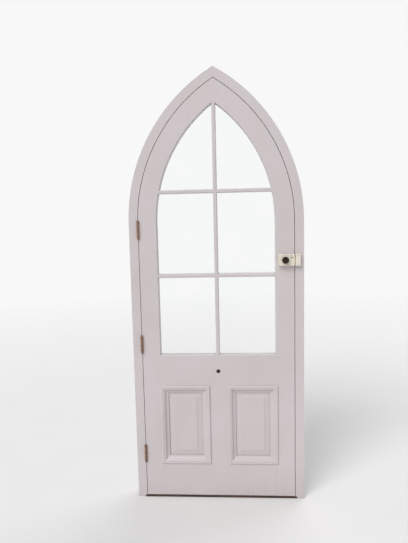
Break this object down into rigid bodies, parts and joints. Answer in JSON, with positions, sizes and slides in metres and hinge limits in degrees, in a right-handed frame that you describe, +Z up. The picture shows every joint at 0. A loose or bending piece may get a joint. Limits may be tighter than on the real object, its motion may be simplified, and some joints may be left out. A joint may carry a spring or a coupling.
{
  "type": "arched door with frame",
  "caption": "Part-glazed timber door with a pointed arched head, hung on butt hinges in its rebated frame, with a rim night latch.",
  "frame": {"origin": "underside of the threshold, in the middle of the frame's width and depth", "axes": "+X to the right seen from the room, +Y from the room to the outside, +Z up"},
  "size_m": [0.97, 0.1473, 2.4443],
  "materials": {
    "white_paint": "white satin paint on timber",
    "dark_hardwood": "dark oiled hardwood",
    "bare_timber": "bare planed timber",
    "glass": "clear float glass",
    "hinge_brass": "tarnished brass",
    "latch_cream": "cream enamel",
    "dark_bronze": "dark bronze, satin",
    "polished_brass": "brushed brass",
    "steel": "zinc-plated steel"
  },
  "bodies": {
    "frame": {"jamb_left": "white_paint", "jamb_right": "white_paint", "head_left": "white_paint", "head_right": "white_paint", "threshold": "dark_hardwood", "frame_tenons": "bare_timber", "hinge_plate_jamb_low": "hinge_brass", "hinge_plate_jamb_middle": "hinge_brass", "hinge_plate_jamb_high": "hinge_brass", "keep": "latch_cream"},
    "leaf": {"stile_left": "white_paint", "stile_right": "white_paint", "head_rail_left": "white_paint", "head_rail_right": "white_paint", "lock_rail": "white_paint", "bottom_rail": "white_paint", "muntin": "white_paint", "leaf_tenons": "bare_timber", "panel_left": "white_paint", "panel_right": "white_paint", "moulding_left_inside": "white_paint", "moulding_left_outside": "white_paint", "moulding_right_inside": "white_paint", "moulding_right_outside": "white_paint", "glazing_bar_upright": "white_paint", "glazing_bar_low": "white_paint", "glazing_bar_high": "white_paint", "glazing_beads_low": "white_paint", "glazing_beads_middle": "white_paint", "glazing_beads_top": "white_paint", "pane_low_left": "glass", "pane_low_right": "glass", "pane_middle_left": "glass", "pane_middle_right": "glass", "pane_top_left": "glass", "pane_top_right": "glass", "hinge_plate_stile_low": "hinge_brass", "hinge_plate_stile_middle": "hinge_brass", "hinge_plate_stile_high": "hinge_brass", "latch_backplate": "steel", "latch_case": "latch_cream", "latch_spring": "steel", "cylinder_barrel": "polished_brass", "cylinder_ring": "polished_brass", "pull_knob": "dark_bronze", "pull_rose": "dark_bronze", "pull_nut": "dark_bronze"},
    "latch_knob": {"latch_knob": "dark_bronze", "latch_cam": "steel"},
    "latch_bolt": {"latch_bolt": "polished_brass"},
    "snib": {"latch_snib": "latch_cream"},
    "key_plug": {"cylinder_plug": "polished_brass"}
  },
  "joints": [
    {"name": "door_swing", "type": "hinge", "parent": "frame", "child": "leaf", "pos_m": [-0.4335, -0.0545, 0.924], "axis": [0, 0, -1], "range_deg": [0, 110]},
    {"name": "knob_turn", "type": "hinge", "parent": "leaf", "child": "latch_knob", "pos_m": [0.38, -0.0755, 1.3975], "axis": [0, -1, 0], "range_deg": [0, 60], "stiffness_Nm_per_rad": 0.2, "springref_deg": -28.65},
    {"name": "bolt_slide", "type": "slide", "parent": "leaf", "child": "latch_bolt", "axis": [-1, 0, 0], "range_m": [0, 0.016], "deforming": ["latch_spring"]},
    {"name": "snib_slide", "type": "slide", "parent": "leaf", "child": "snib", "axis": [0, 0, -1], "range_m": [0, 0.006]},
    {"name": "key_turn", "type": "hinge", "parent": "leaf", "child": "key_plug", "pos_m": [0.38, 0.0005, 1.3975], "axis": [0, -1, 0], "range_deg": [0, 60]}
  ],
  "couplings": [
    {"joint": "bolt_slide", "follows": "knob_turn", "m_per_rad": 0.015279}
  ]
}
